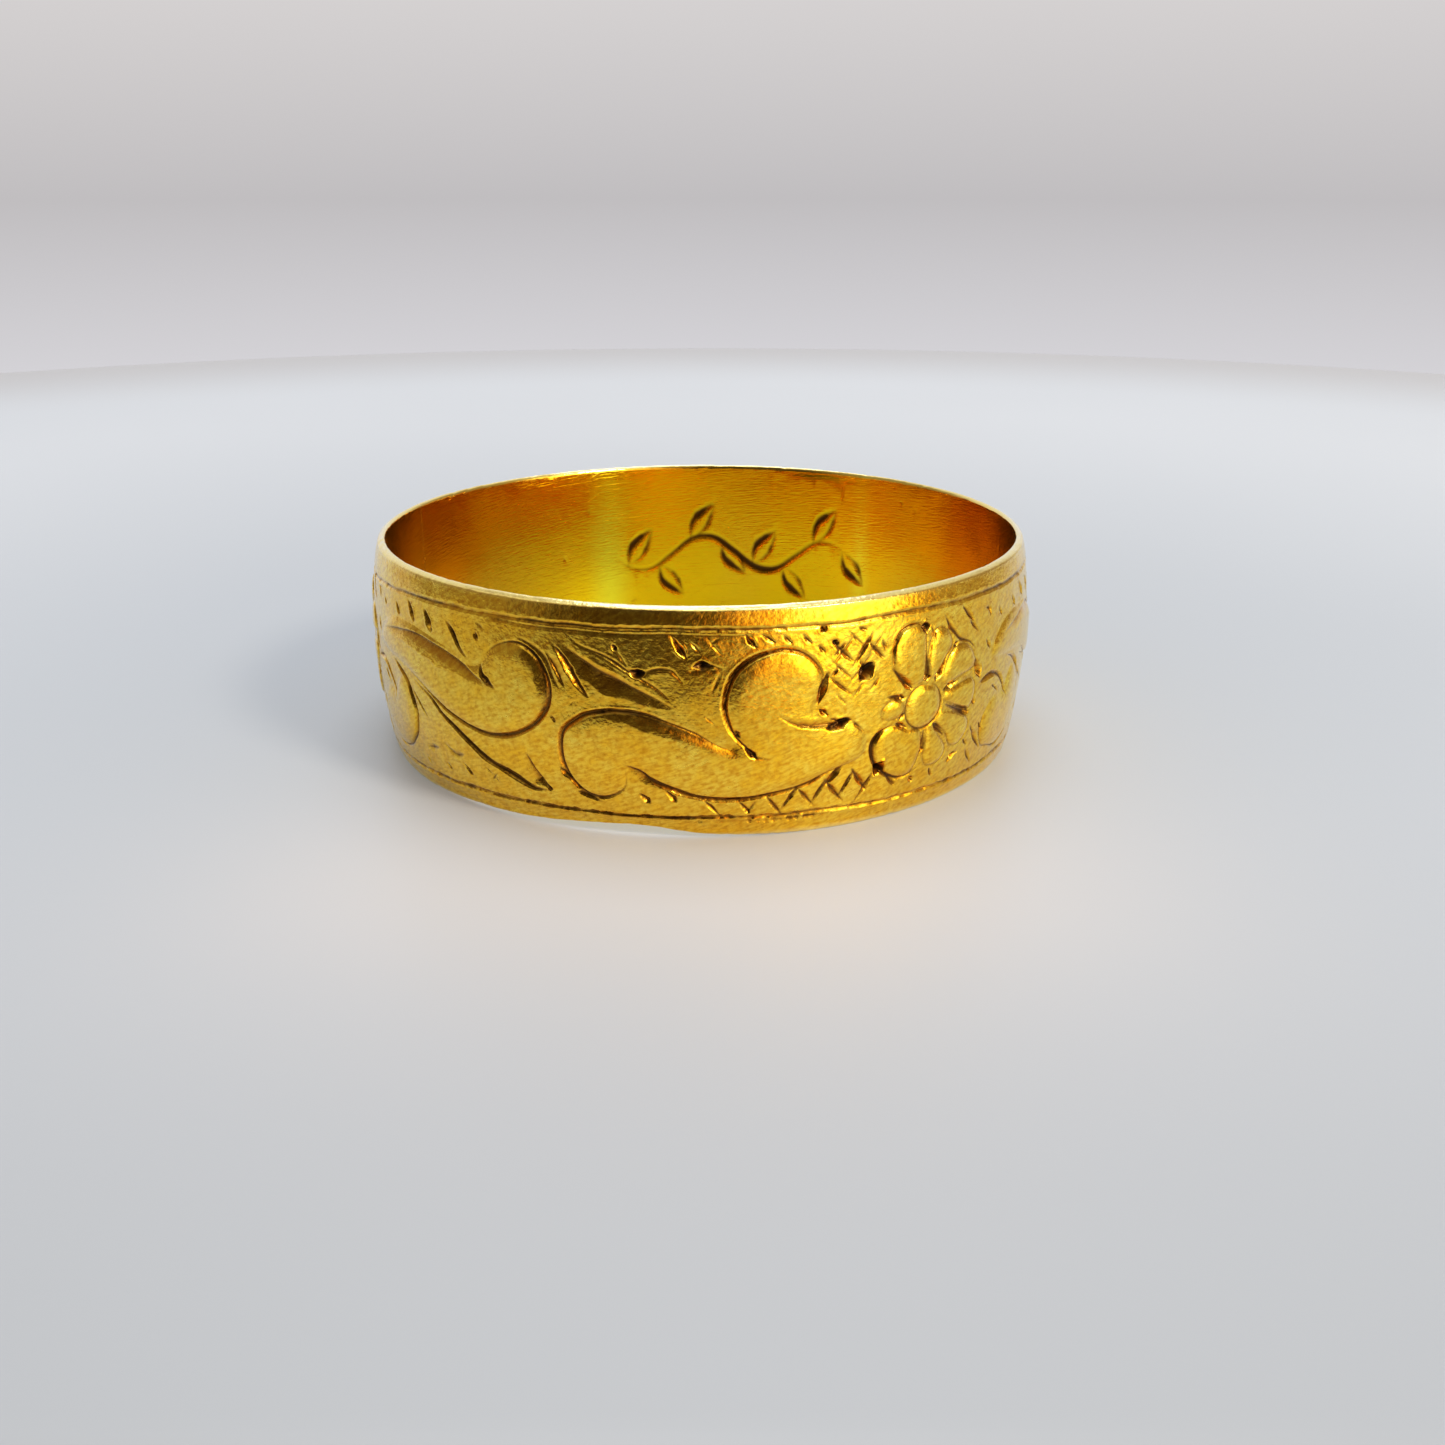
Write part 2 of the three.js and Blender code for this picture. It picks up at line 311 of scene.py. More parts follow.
# Cross-hatching above the volute's end, and the row of hatching along the foot of the leaf.
HATCHING = [
    ([(3.35, 5.05), (3.95, 4.45)], dict(width=0.1, widest=0.6)),
    ([(4.3, 5.0), (4.85, 4.4)], dict(width=0.09, widest=0.6)),
    ([(4.57, 5.17), (4.3, 4.85), (3.9, 4.3)], dict(width=0.09, widest=0.5)),
    ([(3.75, 5.0), (3.4, 4.6)], dict(width=0.08, widest=0.5)),
    ([(3.22, 4.22), (3.6, 3.9), (3.97, 3.58)], dict(width=0.08, widest=0.5)),
    ([(3.1, 5.42), (3.2, 5.28)], dict(width=0.14, widest=0.5, slope=0.6)),
    ([(3.4, 5.06), (3.52, 4.94)], dict(width=0.13, widest=0.5, slope=0.6, dirt_and_shade=0.13)),
    ([(4.5, 4.38), (4.28, 4.15), (4.12, 3.95)], dict(width=0.3, widest=0.5, slope=0.55, dirt_and_shade=0.13)),
    ([(4.05, 4.55), (4.35, 4.2)], dict(width=0.06, widest=0.5)),
    ([(3.75, 5.3), (4.4, 4.65)], dict(width=0.055, widest=0.4)),
    ([(3.25, 4.65), (4.0, 3.95)], dict(width=0.055, widest=0.5)),
    ([(3.45, 3.75), (3.8, 3.35)], dict(width=0.05, widest=0.5)),
    ([(4.15, 5.25), (3.7, 4.8), (3.3, 4.35)], dict(width=0.05, widest=0.6)),
    ([(4.6, 4.75), (3.75, 3.85)], dict(width=0.055, widest=0.5)),
    ([(4.3, 4.0), (3.9, 3.5)], dict(width=0.05, widest=0.5)),
    ([(4.85, 5.1), (4.3, 4.5)], dict(width=0.05, widest=0.4)),
    ([(-1.47, 1.27), (-1.15, 0.98)], dict(width=0.12, widest=0.7)),
    ([(-0.82, 1.42), (-0.48, 1.03)], dict(width=0.12, widest=0.7)),
    ([(0.12, 1.16), (0.64, 0.6)], dict(width=0.09, widest=0.5)),
    ([(1.02, 1.07), (1.32, 0.74)], dict(width=0.09, widest=0.7)),
    ([(1.52, 1.07), (1.3, 0.75)], dict(width=0.06, widest=0.7)),
    ([(1.26, 0.82), (1.32, 0.7)], dict(width=0.13, widest=0.5)),
    ([(1.66, 1.27), (2.24, 0.49)], dict(width=0.09, widest=0.5)),
    ([(2.48, 1.38), (3.06, 0.7)], dict(width=0.09, widest=0.5)),
    ([(3.2, 1.52), (3.87, 0.7)], dict(width=0.1, widest=0.5)),
    ([(3.98, 1.67), (4.25, 1.3), (4.52, 0.93)], dict(width=0.14, widest=0.6)),
    ([(2.6, 1.42), (2.1, 0.7)], dict(width=0.08, widest=0.4)),
    ([(3.36, 1.56), (2.86, 0.7)], dict(width=0.08, widest=0.4)),
    ([(3.74, 1.8), (3.2, 1.22)], dict(width=0.13, widest=0.4)),
    ([(4.1, 1.64), (3.58, 0.74)], dict(width=0.08, widest=0.4)),
    ([(4.7, 1.5), (4.12, 0.58)], dict(width=0.09, widest=0.4)),
    ([(4.66, 1.58), (4.8, 1.52), (4.96, 1.42)], dict(width=0.32, widest=0.5, slope=0.6, dirt_and_shade=0.13)),
]

# The flower: a domed disc, eight petals parted by cuts that point at it, and picks between them.
HEART_U, HEART_Z = 6.15, 2.95
FLOWER = [
    ([(HEART_U + 0.62 * math.sin(a), HEART_Z + 0.6 * math.cos(a)) for a in np.linspace(0.2, 6.48, 15)],
     dict(width=0.065, slope=0.4)),
    ([(6.2, 4.35), (6.2, 4.0), (6.2, 3.6)], dict(width=0.17, widest=0.8, slope=0.5)),
    ([(5.05, 4.15), (5.4, 3.8), (5.72, 3.48)], dict(width=0.15, widest=0.8, slope=0.5)),
    ([(4.9, 3.42), (5.2, 3.36), (5.5, 3.3)], dict(width=0.13, widest=0.8, slope=0.5)),
    ([(5.32, 2.72), (5.52, 2.9)], dict(width=0.1, widest=0.6)),
    ([(5.2, 2.67), (5.45, 2.55), (5.62, 2.48)], dict(width=0.12, widest=0.6)),
    ([(6.2, 2.33), (6.22, 2.0), (6.18, 1.66)], dict(width=0.12, widest=0.85)),
    ([(6.5, 2.42), (7.02, 1.93)], dict(width=0.12, widest=0.3)),
    ([(6.85, 2.86), (7.4, 2.6), (8.02, 2.34)], dict(width=0.17, widest=0.85, slope=0.4)),
    ([(6.8, 3.2), (7.1, 3.3), (7.42, 3.38)], dict(width=0.13, widest=0.4)),
    ([(6.5, 3.55), (6.68, 3.8), (6.9, 4.1)], dict(width=0.17, widest=0.3, slope=0.5)),
    ([(5.15, 3.98), (5.1, 4.4), (5.15, 4.75), (5.4, 5.05), (5.9, 5.15), (6.2, 5.05)],
     dict(width=0.075, widest=0.6)),
    ([(6.0, 5.02), (6.15, 5.0), (6.34, 5.04)], dict(width=0.22, widest=0.5, slope=0.6, dirt_and_shade=0.13)),
    ([(6.35, 5.08), (6.45, 4.8), (6.42, 4.4)], dict(width=0.06, widest=0.4)),
    ([(6.88, 5.2), (7.1, 4.85), (7.3, 4.65), (7.5, 4.45), (7.9, 4.3), (8.22, 4.0)],
     dict(width=0.1, widest=0.25)),
    ([(7.0, 4.95), (7.15, 4.78)], dict(width=0.14, widest=0.5, slope=0.5)),
    ([(7.17, 4.28), (7.42, 4.42)], dict(width=0.1, widest=0.5)),
    ([(8.18, 3.78), (8.28, 3.5), (8.42, 3.2)], dict(width=0.2, widest=0.6, slope=0.6)),
    ([(8.1, 2.68), (8.28, 2.52)], dict(width=0.12, widest=0.5)),
    ([(8.15, 1.95), (8.5, 1.5), (8.9, 1.05)], dict(width=0.12, widest=0.5)),
    ([(8.1, 1.27), (8.3, 1.0), (8.52, 0.73)], dict(width=0.09, widest=0.5)),
    ([(7.28, 1.08), (7.5, 1.25), (7.72, 1.28)], dict(width=0.14, widest=0.4)),
    ([(5.15, 2.66), (4.75, 2.5), (4.55, 2.2), (4.6, 1.8), (4.8, 1.5), (5.1, 1.25), (5.5, 1.1),
      (5.9, 1.15), (6.3, 1.4)], dict(width=0.11, widest=0.3)),
    ([(5.03, 1.32), (5.42, 0.88)], dict(width=0.13, widest=0.5)),
    ([(5.88, 1.03), (6.02, 0.86)], dict(width=0.14, widest=0.5, slope=0.6)),
    ([(6.58, 1.12), (6.76, 0.82)], dict(width=0.11, widest=0.5)),
    ([(7.6, 5.3), (7.85, 5.05), (8.12, 4.78)], dict(width=0.12, widest=0.6)),
    ([(7.88, 4.88), (8.32, 4.48)], dict(width=0.08, widest=0.5)),
    ([(8.68, 5.02), (8.9, 4.95), (8.95, 4.72)], dict(width=0.08, widest=0.5)),
]

# What stands proud: the ground between is scraped back, so each of these outlines is a soft cushion.
BIG_FORMS = [
    [(-11.2, 3.6), (-10.3, 4.4), (-9.0, 4.6), (-7.5, 4.42), (-6.3, 4.0), (-5.75, 4.1), (-5.4, 4.55),
     (-4.8, 4.8), (-4.2, 4.7), (-3.8, 4.2), (-3.7, 3.6), (-3.9, 3.1), (-4.4, 2.65), (-5.2, 2.35),
     (-6.3, 2.4), (-7.6, 2.85), (-8.9, 3.35), (-10.0, 3.45)],
    [(-9.4, 3.1), (-8.85, 2.7), (-8.65, 2.1), (-8.8, 1.6), (-9.1, 1.25), (-9.5, 0.95), (-10.0, 0.82),
     (-10.5, 0.9), (-11.0, 1.1), (-11.3, 1.6), (-11.1, 2.1), (-10.6, 2.45), (-10.0, 2.3), (-9.8, 2.7)],
    [(-1.8, 2.05), (-1.78, 1.45), (-2.2, 1.1), (-2.7, 1.08), (-3.2, 1.5), (-3.45, 2.3), (-3.3, 2.85),
     (-2.7, 3.28), (-1.7, 3.42), (-0.6, 3.15), (0.4, 2.65), (1.1, 2.35), (0.85, 3.0), (0.7, 3.6),
     (0.8, 4.1), (1.2, 4.65), (1.9, 4.9), (2.6, 4.8), (3.05, 4.35), (3.0, 3.7), (2.8, 3.25), (3.3, 2.9),
     (3.8, 2.95), (4.35, 2.5), (4.3, 1.95), (3.3, 1.65), (1.8, 1.2), (0.6, 1.12), (-0.6, 1.4),
     (-1.4, 1.88)],
]
PETALS = [
    [(5.65, 3.6), (5.2, 4.0), (5.08, 4.45), (5.2, 4.85), (5.5, 5.1), (5.95, 5.12), (6.16, 4.8),
     (6.16, 4.2), (6.08, 3.65)],
    [(6.28, 3.62), (6.27, 4.3), (6.45, 4.8), (6.75, 4.92), (7.05, 4.7), (7.15, 4.35), (6.9, 4.15),
     (6.5, 3.65)],
    [(6.7, 3.5), (7.0, 4.05), (7.35, 4.3), (7.8, 4.25), (8.1, 3.9), (8.1, 3.6), (7.5, 3.48), (6.9, 3.38)],
    [(6.85, 3.15), (7.45, 3.25), (8.0, 3.3), (8.2, 3.0), (8.1, 2.6), (7.9, 2.48), (7.4, 2.7), (6.85, 2.96)],
    [(6.8, 2.72), (7.4, 2.48), (7.95, 2.2), (8.0, 1.85), (7.7, 1.55), (7.3, 1.6), (7.05, 2.0), (6.6, 2.45)],
    [(6.45, 2.32), (6.9, 1.88), (7.12, 1.55), (6.95, 1.25), (6.5, 1.2), (6.28, 1.5), (6.3, 2.0),
     (6.28, 2.3)],
    [(5.6, 2.42), (5.15, 2.6), (4.78, 2.48), (4.58, 2.2), (4.62, 1.8), (4.82, 1.5), (5.12, 1.28),
     (5.5, 1.13), (5.88, 1.18), (6.1, 1.6), (6.14, 2.0), (6.05, 2.3)],
    [(5.45, 3.22), (5.1, 3.28), (4.82, 3.1), (4.82, 2.85), (5.1, 2.78), (5.45, 2.88)],
]
DISC = [(HEART_U + 0.55 * math.sin(a), HEART_Z + 0.54 * math.cos(a)) for a in np.linspace(0, 6.0, 14)]


def fill(side, outlines):
    """Marks with 1 what lies inside the smooth closed outlines, and with 0 the rest."""
    marked = np.zeros((side.rows, side.columns))
    for points in outlines:
        path = smooth_path(points + points[:1], step=0.1)
        start = np.floor(path.min(0) / CELL).astype(int)
        stop = np.ceil(path.max(0) / CELL).astype(int)
        columns = np.arange(start[0], stop[0] + 1)
        rows = np.arange(start[1], stop[1] + 1)
        place_u, place_z = np.meshgrid(columns * CELL, rows * CELL)
        within = np.zeros(place_u.shape, bool)
        for (u0, z0), (u1, z1) in zip(path[:-1], path[1:]):
            if z0 != z1:
                beside = (z0 > place_z) != (z1 > place_z)
                within ^= beside & (place_u < u0 + (place_z - z0) * (u1 - u0) / (z1 - z0))
        block = np.ix_(rows, columns % side.columns)
        marked[block] = np.maximum(marked[block], within)
    return marked


def soften(cells, radius):
    """Wear: a blur of about that radius, in cells, which goes round the band."""
    reach = np.arange(-3 * math.ceil(radius), 3 * math.ceil(radius) + 1)
    weights = np.exp(-0.5 * (reach / radius) ** 2)
    weights /= weights.sum()
    total = sum(w * np.roll(cells, n, axis=1) for n, w in zip(reach, weights))
    padded = np.pad(total, ((len(reach), len(reach)), (0, 0)), mode="edge")
    return sum(w * np.roll(padded, n, axis=0) for n, w in zip(reach, weights))[len(reach):-len(reach)]


def cushion(marked, shoulder):
    """Turns marked forms into cushions, 1 high, whose shoulders are about that many cells wide."""
    return np.clip(2 * soften(marked, shoulder) - 1, 0, 1) ** 0.8


# The pattern comes three times round the band, and the engraver's hand is never quite the same.
# Wear has spread each stroke to so many times the width that it was cut.
REPEATS = 3
period = ROUND / REPEATS
rims = [(petal + petal[:1], dict(width=0.055, slope=0.22)) for petal in PETALS]
worn_strokes = [(stroke, 1.2) for stroke in LEAF + CURL + LANCES + S_LEAF + VOLUTE]
worn_strokes += [(stroke, 1.6) for stroke in HATCHING + GROUND + FLOWER + rims]
for repeat in (0, 1, -1):
    drift = 0.0 if repeat == 0 else 0.04
    shift = repeat * period
    for (points, stroke), spread in worn_strokes:
        moved = [(u + shift + luck.normal(0, drift), z + luck.normal(0, drift)) for u, z in points]
        cut(outside, moved, **{**stroke, "width": spread * stroke["width"]})


def every_time(outlines):
    """The outlines in each of the pattern's repeats."""
    return [[(u + n * period, z) for u, z in points] for points in outlines for n in range(REPEATS)]


LEAF_RISE = 0.075
PETAL_RISE = 0.06
proud = LEAF_RISE * cushion(fill(outside, every_time(BIG_FORMS)), 9)
for petals in (PETALS[::2], PETALS[1::2], [DISC]):
    proud = np.maximum(proud, PETAL_RISE * cushion(fill(outside, every_time(petals)), 5))

# The two border lines, cut freehand all the way round, with a second pass here and there.
around = np.arange(outside.columns) * CELL
around = np.where(around > ROUND / 2, around - ROUND, around)


def border(points, width, depth, first=-ROUND, last=ROUND, chatter=0.1):
    """A line round the strip through the points. It wavers, and it chatters where the tool jumped."""
    places = np.array(points, float)
    line = np.interp(around, places[:, 0], places[:, 1], period=ROUND)
    line = line + 0.012 * ripples(around, np.zeros_like(around), 6, 1, 12)
    jump = 1 + chatter * ripples(around, np.zeros_like(around), 1.2, 0.12, 30)
    fade = np.clip(np.minimum(around - first, last - around) / 0.6, 0, 1)
    half = width / 2 * np.clip(jump, 0.3, 1.6) * fade
    height = np.arange(outside.rows)[:, None] * CELL
    gap = np.abs(height - line)
    groove = depth * fade * np.clip(jump, 0.2, 1.5) * np.clip(1 - gap / np.maximum(half, 1e-4), 0, 1)
    ridge = 0.3 * depth * fade * np.exp(-(((gap - half) / 0.05) ** 2)) * (gap > half)
    patchy = 0.65 + 0.4 * ripples(around, np.zeros_like(around), 5, 0.5, 20)
    # Old polish and painted shade along the line, patchy where the tool jumped.
    grime = fade * np.clip(patchy * jump, 0, 1) * np.clip(1.2 * (1 - gap / 0.05), 0, 1)
    outside.lower(0, 0, groove, ridge, grime)


border([(-29, 5.45), (-20, 5.4), (-12, 5.15), (-10, 5.28), (-9, 5.33), (-7, 5.42), (-5, 5.46), (-2, 5.47),
        (2, 5.47), (6, 5.46), (9, 5.44), (12, 5.4), (18, 5.48), (24, 5.42)], 0.13, 0.045)
border([(-6, 5.33), (-4, 5.34), (0, 5.33), (2, 5.31)], 0.1, 0.03, first=-5.8, last=1.6)
border([(-29, 0.55), (-20, 0.5), (-12, 0.38), (-10, 0.42), (-9, 0.46), (-7, 0.55), (-5, 0.57), (-3, 0.6),
        (-1, 0.58), (3, 0.58), (8, 0.49), (10, 0.5), (14, 0.52), (18, 0.56), (24, 0.5)],
       0.13, 0.05, chatter=0.16)
border([(-2, 0.5), (0, 0.46), (3, 0.47), (5, 0.52)], 0.13, 0.035, first=-0.6, last=3.6, chatter=0.45)

# The inside: a plain engraved sprig in long thick-and-thin strokes, worn soft, and a few dents.
inside = Side()
SPRIG_START, SPRIG_END = 24.2, 33.6
places = np.linspace(SPRIG_START, SPRIG_END, 13)
stem = [(u, 2.9 + 0.6 * math.sin((u - SPRIG_START) * 1.35)) for u in places]
cut(inside, stem, width=0.34, slope=0.18, widest=0.45, dirt_and_shade=0.15)
LEAVES = 8
for number in range(LEAVES):
    u = SPRIG_START + 0.5 + number * (SPRIG_END - SPRIG_START - 1.2) / (LEAVES - 1)
    z = 2.9 + 0.6 * math.sin((u - SPRIG_START) * 1.35)
    rise = 1.35 if number % 2 else -1.2
    tip = (u - 0.95, z + rise)
    full, fine = [(u, z), (u - 0.15, z + 0.55 * rise), tip], [(u, z), (u - 0.6, z + 0.35 * rise), tip]
    cut(inside, full, width=0.36, slope=0.18, widest=0.55, dirt_and_shade=0.15)
    cut(inside, fine, width=0.22, slope=0.18, widest=0.6, dirt_and_shade=0.1)
DENTS = 40
for _ in range(DENTS):
    u, z = luck.uniform(-ROUND / 2, ROUND / 2), luck.uniform(0.5, 5.5)
    dent = [(u, z), (u + luck.normal(0, 0.15), z + luck.normal(0, 0.15))]
    cut(inside, dent, width=luck.uniform(0.05, 0.16), slope=0.25, widest=0.5)


grid_u, grid_z = np.meshgrid(np.arange(outside.columns) * CELL, np.arange(outside.rows) * CELL)
outside_cut = soften(outside.depth, 0.6)
inside_cut = soften(inside.depth, 2)
outside_grime_and_shade = soften(outside.grime, 0.5)
inside_grime_and_shade = soften(inside.grime, 2)
edge_wear = 0.035 * np.clip((np.abs(grid_z - WIDTH / 2) - 2.42) / 0.45, 0, 1) ** 2
outside_relief = proud + soften(outside.burr, 0.8) - outside_cut
outside_relief = outside_relief - 0.35 * soften(outside.depth, 6) - edge_wear
outside_relief += 0.006 * ripples(grid_u, grid_z, 9, 3, 40) + 0.003 * ripples(grid_u, grid_z, 1.8, 0.6, 90)
inside_relief = soften(inside.burr, 1.5) - inside_cut
inside_relief += 0.008 * ripples(grid_u, grid_z, 10, 3, 40) + 0.001 * ripples(grid_u, grid_z, 2, 0.7, 60)


def read(cells, along, across):
    """The value of a map between its cells, at places along and across the strip."""
    column = np.mod(along, ROUND) / CELL
    row = np.clip(across / CELL, 0, cells.shape[0] - 1.001)
    c0, r0 = np.floor(column).astype(int), np.floor(row).astype(int)
    fc, fr = column - c0, row - r0
    c0, c1 = c0 % cells.shape[1], (c0 + 1) % cells.shape[1]
    lower_row = cells[r0, c0] * (1 - fc) + cells[r0, c1] * fc
    upper_row = cells[r0 + 1, c0] * (1 - fc) + cells[r0 + 1, c1] * fc
    return lower_row * (1 - fr) + upper_row * fr


def read_line(values, along):
    """The value at places along the strip of a row of values that runs once round it."""
    return read(np.vstack([values, values]), along, np.zeros_like(along))


# The edges are worn: nicks along the crest, and at the front the lower edge is bent up a little.
NICKS = 150
nick_places = luck.uniform(0, ROUND, NICKS)
nick_sizes = luck.uniform(0.04, 0.16, NICKS)
nick_depths = luck.uniform(0.002, 0.010, NICKS)
crest_wear = 0.0025 * ripples(around, np.zeros_like(around), 5, 0.8, 30)
for place, size, depth in zip(nick_places, nick_sizes, nick_depths):
    gap = np.mod(np.arange(outside.columns) * CELL - place + ROUND / 2, ROUND) - ROUND / 2
    crest_wear -= depth * np.exp(-((gap / size) ** 2))
LIFT = [(-9, 0), (-7.5, 0.05), (-5, 0.11), (-4, 0.16), (-3, 0.24), (-2, 0.29), (-1.5, 0.30), (-1, 0.27),
        (-0.5, 0.19), (0, 0.12), (0.5, 0.08), (1, 0.05), (2, 0.02), (3, 0)]
edge_lift = np.interp(around, *np.array(LIFT).T)
edge_lift = soften(edge_lift[None, :], 6)[0]


def section(face_rows, wall_rows, edge_rows):
    """The strip's outline, once round from the lower edge up the face and down the bore, in mm:
    its points, and which way each faces."""
    turn = np.linspace(0, math.pi / 2, edge_rows)
    top = WIDTH - EDGE
    face = np.linspace(EDGE, top, face_rows)
    bulge = face_radius(top) - CREST
    foot = face_radius(EDGE) - CREST
    parts = [
        np.column_stack([face_radius(face), face]),
        np.column_stack([CREST + bulge * np.cos(turn), top + EDGE * np.sin(turn)])[1:],
        np.column_stack([CREST - (CREST - BORE) * np.sin(turn), top + EDGE * np.cos(turn)])[1:],
        np.column_stack([np.full(wall_rows, BORE), np.linspace(top, EDGE, wall_rows)])[1:],
        np.column_stack([CREST - (CREST - BORE) * np.cos(turn), EDGE - EDGE * np.sin(turn)])[1:],
        np.column_stack([CREST + foot * np.sin(turn), EDGE - EDGE * np.cos(turn)])[1:],
    ]
    points = np.vstack(parts)
    ahead = np.roll(points[:-1], -1, axis=0)
    behind = np.roll(points[:-1], 1, axis=0)
    way = ahead - behind
    facing = np.column_stack([way[:, 1], -way[:, 0]]) / np.hypot(*way.T)[:, None]
    return points, np.vstack([facing, facing[:1]])


def bend_round(piece, start, length, outline, facing):
    """Turns a flat square grid into the strip: across the grid goes round the section, and along
    it goes round the finger. The engraving, the wear and the bent edge are pressed in on the way."""
    mesh = piece.data
    flat = np.empty(len(mesh.vertices) * 3, np.float32)
    mesh.vertices.foreach_get("co", flat)
    flat = flat.reshape(-1, 3).astype(float)
    along = start + (flat[:, 0] + 0.5) * length
    row = np.rint((flat[:, 1] + 0.5) * (len(outline) - 1)).astype(int)
    radius, height = outline[row, 0], outline[row, 1]
    out = facing[row]
    outer = np.clip((radius - CREST) / 0.1, 0, 1)
    inner = np.clip((CREST - radius) / 0.08, 0, 1)
    rise = outer * read(outside_relief, along, height) + inner * read(inside_relief, along, height)
    nearness = np.exp(-(((radius - CREST) / 0.12) ** 2)) * (np.abs(height - WIDTH / 2) > WIDTH / 2 - 0.2)
    other_edge = height * 3  # so that the nicks on the two edges don't stand in line
    rise = rise + nearness * read_line(crest_wear, along + other_edge)
    rise = np.where(nearness > 0.3, np.minimum(rise, 0), rise)
    radius = radius + out[:, 0] * rise
    height = height + out[:, 1] * rise
    height = height + read_line(edge_lift, along) * np.clip(1 - height / 0.62, 0, 1)
    angle = along / SPREAD
    place = np.column_stack([radius * np.sin(angle), -radius * np.cos(angle), height]) * MM
    mesh.vertices.foreach_set("co", place.astype(np.float32).ravel())
    mesh.update()


def flat_grid(name, columns, rows):
    """A square grid with that many faces each way, with nothing else selected."""
    bpy.ops.object.select_all(action="DESELECT")
    bpy.ops.mesh.primitive_grid_add(x_subdivisions=columns, y_subdivisions=rows, size=1.0)
    piece = bpy.context.active_object
    piece.name = name
    piece.data.name = name
    return piece


def close_strip(piece):
    """Joins the section's two meeting edges and fills the strip's two ends."""
    bpy.ops.object.mode_set(mode="EDIT")
    bpy.ops.mesh.select_all(action="SELECT")
    bpy.ops.mesh.remove_doubles(threshold=1e-8)
    bpy.ops.mesh.select_all(action="DESELECT")
    bpy.ops.mesh.select_mode(type="EDGE")
    bpy.ops.mesh.select_non_manifold()
    bpy.ops.mesh.edge_face_add()
    bpy.ops.mesh.select_all(action="SELECT")
    bpy.ops.mesh.quads_convert_to_tris()
    bpy.ops.mesh.normals_make_consistent(inside=False)
    bpy.ops.mesh.select_mode(type="VERT")
    bpy.ops.object.mode_set(mode="OBJECT")


def record_cuts(piece):
    """Marks on each point how deep it lies in a cut, in mm, its share of old polish and painted shade,
    and whether it is in the bore, on a crest or in a part painted orange as reflected light, and lays
    a map of mm along and across."""
    mesh = piece.data
    co = np.empty(len(mesh.vertices) * 3, np.float32)
    mesh.vertices.foreach_get("co", co)
    co = co.reshape(-1, 3) / MM
    along = np.arctan2(co[:, 0], -co[:, 1]) * SPREAD
    across = co[:, 2]
    radius = np.hypot(co[:, 0], co[:, 1])
    outer = radius > CREST
    bore = np.clip((CREST - radius) / (CREST - BORE), 0, 1)
    ruddy = np.zeros(len(co))
    # Painted reflection: two sides of the bore are marked for an orange tone.
    for middle, breadth, strength in ((43.0, 5.5, 0.75), (15.5, 5.5, 1.0)):
        away = np.mod(along - middle + ROUND / 2, ROUND) - ROUND / 2
        ruddy = np.maximum(ruddy, strength * bore * np.exp(-((away / breadth) ** 4)))
    marks = {
        "cut": np.where(outer, read(outside_cut, along, across), read(inside_cut, along, across)),
        "grime": np.where(outer, read(outside_grime_and_shade, along, across), read(inside_grime_and_shade, along, across)),
        "bore": bore,
        "crest": np.clip(1 - np.minimum(across, WIDTH - across) / 0.16, 0, 1),
        "ruddy": ruddy,
    }
    for name, values in marks.items():
        mark = mesh.attributes.new(name, "FLOAT", "POINT")
        mark.data.foreach_set("value", values.astype(np.float32))
    from_seam = np.mod(along - SEAM, ROUND)
    corners = np.empty(len(mesh.loops), np.int32)
    mesh.loops.foreach_get("vertex_index", corners)
    lay = np.column_stack([from_seam, across + radius])[corners]
    mesh.uv_layers.new(name="lay").data.foreach_set("uv", lay.astype(np.float32).ravel())


outline, facing = section(face_rows=190, wall_rows=90, edge_rows=9)
FINE = 0.03  # the grid's step along the strip, before it is thinned
MOST_FACES = 190_000
GAP = 0.001  # between the strip's ends and the solder
strip_start = SEAM + SOLDER / 2 + GAP
strip_length = ROUND - SOLDER - 2 * GAP
strip_columns = round(strip_length / FINE)
band = flat_grid("band_strip_engraved", strip_columns, len(outline) - 1)
bend_round(band, strip_start, strip_length, outline, facing)
close_strip(band)
thin = band.modifiers.new("thin", "DECIMATE")
thin.ratio = MOST_FACES / len(band.data.polygons)
bpy.ops.object.modifier_apply(modifier="thin")
bpy.ops.object.shade_smooth_by_angle(angle=math.radians(60))
record_cuts(band)


class Wire:
    """A shader value. Sums and products of wires add Math nodes, and node adds any other node."""

    def __init__(self, tree, socket=None):
        self.tree = tree
        self.socket = socket

    def node(self, kind, settings, sockets, output=0):
        made = self.tree.nodes.new(kind)
        for name, value in settings.items():
            if name == "stops":
                ramp = made.color_ramp
                while len(ramp.elements) < len(value):
                    ramp.elements.new(0.5)
                for element, (place, colour) in zip(ramp.elements, value):
                    element.position = place
                    element.color = colour
            else:
                setattr(made, name, value)
        for name, value in sockets.items():
            if isinstance(value, Wire):
                self.tree.links.new(value.socket, made.inputs[name])
            else:
                made.inputs[name].default_value = value
        return Wire(self.tree, None if output is None else made.outputs[output])

    def maths(self, operation, first, second=0.0):
        return self.node("ShaderNodeMath", {"operation": operation}, {0: first, 1: second})

    def __add__(self, other):
        return self.maths("ADD", self, other)

    __radd__ = __add__

    def __sub__(self, other):
        return self.maths("SUBTRACT", self, other)

    def __rsub__(self, other):
        return self.maths("SUBTRACT", other, self)

    def __mul__(self, other):
        return self.maths("MULTIPLY", self, other)

    __rmul__ = __mul__

    def clamped(self):
        return self.node("ShaderNodeClamp", {}, {0: self})

    def blend(self, first, second):
        """A colour from first to second as this value goes from 0 to 1."""
        return self.node("ShaderNodeMix", {"data_type": "RGBA"}, {0: self, 6: first, 7: second}, output=2)


